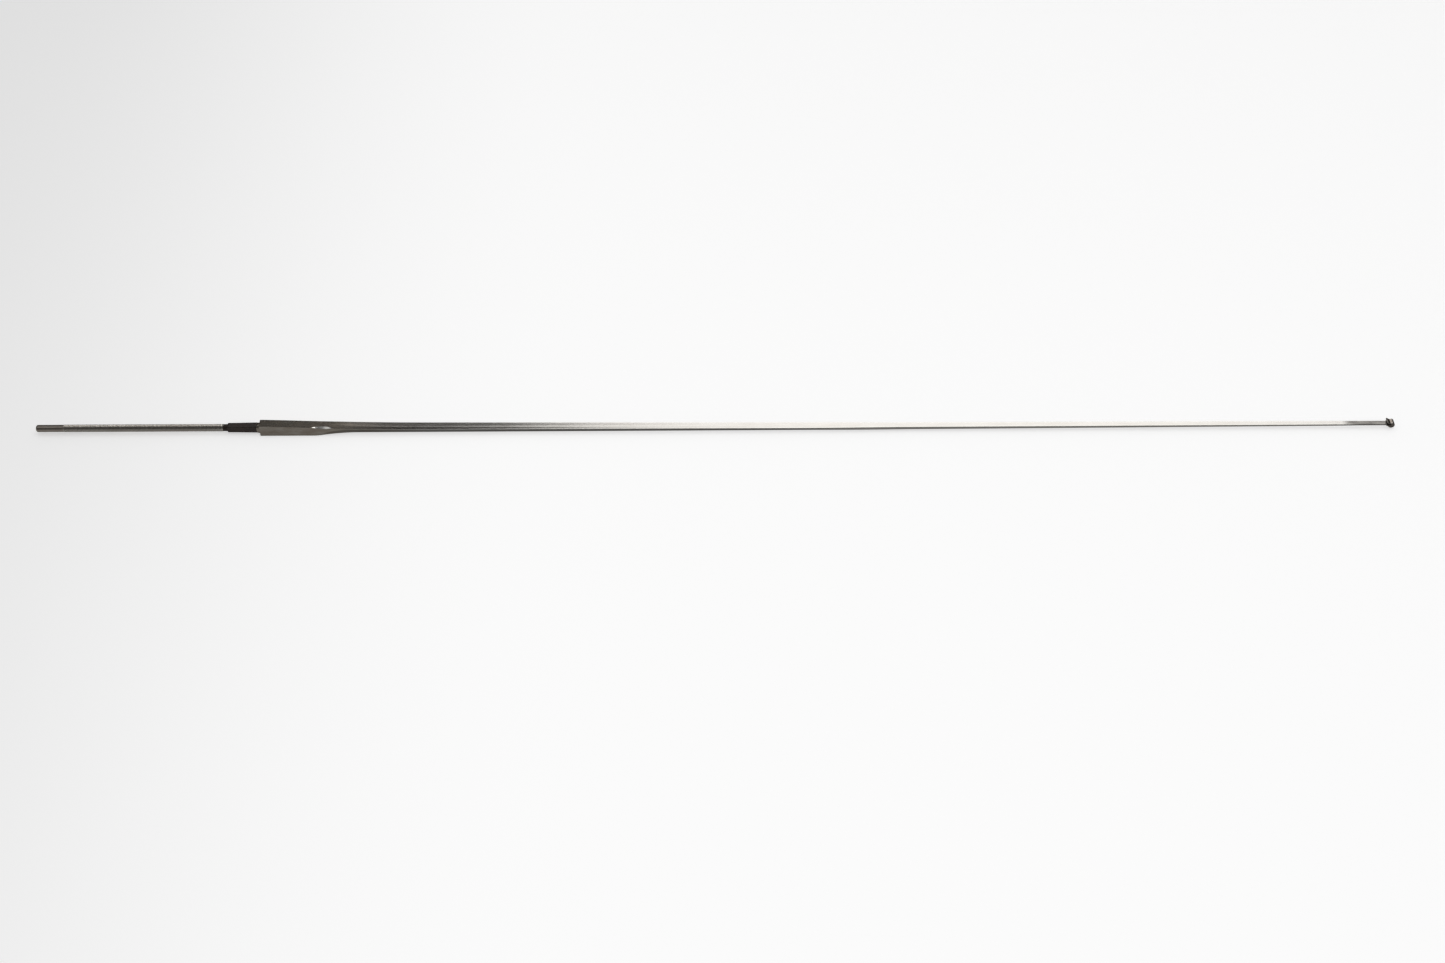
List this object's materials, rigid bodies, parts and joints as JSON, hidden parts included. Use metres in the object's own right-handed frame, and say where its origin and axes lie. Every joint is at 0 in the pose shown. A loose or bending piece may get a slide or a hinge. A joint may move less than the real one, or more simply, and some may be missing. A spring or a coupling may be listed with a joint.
{
  "type": "fencing sabre blade",
  "caption": "Bare full-size fencing sabre blade: threaded tang, square shank, ground ricasso, grooved V-section forte, flat springy foible and folded button.",
  "frame": {"origin": "on the tang's axis, in the plane of the shoulder that seats the guard", "axes": "+X along the blade to its button, +Z out of the grooved back, +Y across the blade"},
  "size_m": [1.0535, 0.0082, 0.0102],
  "materials": {
    "rolled_steel": "dull drawn steel",
    "thread_steel": "bright rolled thread",
    "scaled_steel": "dark forge scale, matt",
    "ground_steel": "coarsely ground, blotched",
    "blade_steel": "lengthwise belt polish",
    "tip_steel": "fine cross-ground",
    "button_steel": "tumbled, worn bright on its edges"
  },
  "bodies": {
    "hilt_end": {"tang_end": "rolled_steel", "tang_thread": "thread_steel", "tang_neck": "scaled_steel", "tang_shank": "scaled_steel", "shoulder_collar": "ground_steel", "ricasso": "ground_steel", "ricasso_taper": "ground_steel", "forte_heel": "blade_steel"},
    "forte_mid": {"forte_mid": "blade_steel"},
    "forte_end": {"forte_end": "blade_steel"},
    "middle_heel": {"middle_heel": "blade_steel"},
    "middle_mid": {"middle_mid": "blade_steel"},
    "middle_end": {"middle_end": "blade_steel"},
    "foible_1": {"foible_1": "blade_steel"},
    "foible_2": {"foible_2": "blade_steel"},
    "foible_3": {"foible_3": "blade_steel"},
    "foible_4": {"foible_4": "blade_steel"},
    "tip": {"foible_5": "blade_steel", "tip_flat": "tip_steel", "tip_button": "button_steel"}
  },
  "joints": [
    {"name": "flex_forte_mid", "type": "hinge", "parent": "hilt_end", "child": "forte_mid", "pos_m": [0.19, 0, -0.0017], "axis": [0, 1, 0], "range_deg": [-2, 2], "stiffness_Nm_per_rad": 120},
    {"name": "flex_forte_end", "type": "hinge", "parent": "forte_mid", "child": "forte_end", "pos_m": [0.27, 0, -0.0018], "axis": [0, 1, 0], "range_deg": [-2.5, 2.5], "stiffness_Nm_per_rad": 97},
    {"name": "flex_middle_heel", "type": "hinge", "parent": "forte_end", "child": "middle_heel", "pos_m": [0.35, 0, -0.0019], "axis": [0, 1, 0], "range_deg": [-3, 3], "stiffness_Nm_per_rad": 79},
    {"name": "flex_middle_mid", "type": "hinge", "parent": "middle_heel", "child": "middle_mid", "pos_m": [0.43, 0, -0.002], "axis": [0, 1, 0], "range_deg": [-3.5, 3.5], "stiffness_Nm_per_rad": 67},
    {"name": "flex_middle_end", "type": "hinge", "parent": "middle_mid", "child": "middle_end", "pos_m": [0.5, 0, -0.00145], "axis": [0, 1, 0], "range_deg": [-7, 7], "stiffness_Nm_per_rad": 25},
    {"name": "flex_foible_1", "type": "hinge", "parent": "middle_end", "child": "foible_1", "pos_m": [0.56, 0, -0.00135], "axis": [0, 1, 0], "range_deg": [-8, 8], "stiffness_Nm_per_rad": 18},
    {"name": "flex_foible_2", "type": "hinge", "parent": "foible_1", "child": "foible_2", "pos_m": [0.62, 0, -0.00125], "axis": [0, 1, 0], "range_deg": [-8, 8], "stiffness_Nm_per_rad": 14},
    {"name": "flex_foible_3", "type": "hinge", "parent": "foible_2", "child": "foible_3", "pos_m": [0.68, 0, -0.0012], "axis": [0, 1, 0], "range_deg": [-8, 8], "stiffness_Nm_per_rad": 10},
    {"name": "flex_foible_4", "type": "hinge", "parent": "foible_3", "child": "foible_4", "pos_m": [0.74, 0, -0.0011], "axis": [0, 1, 0], "range_deg": [-8, 8], "stiffness_Nm_per_rad": 7.6},
    {"name": "flex_tip", "type": "hinge", "parent": "foible_4", "child": "tip", "pos_m": [0.795, 0, -0.001], "axis": [0, 1, 0], "range_deg": [-6, 6], "stiffness_Nm_per_rad": 4.2}
  ]
}
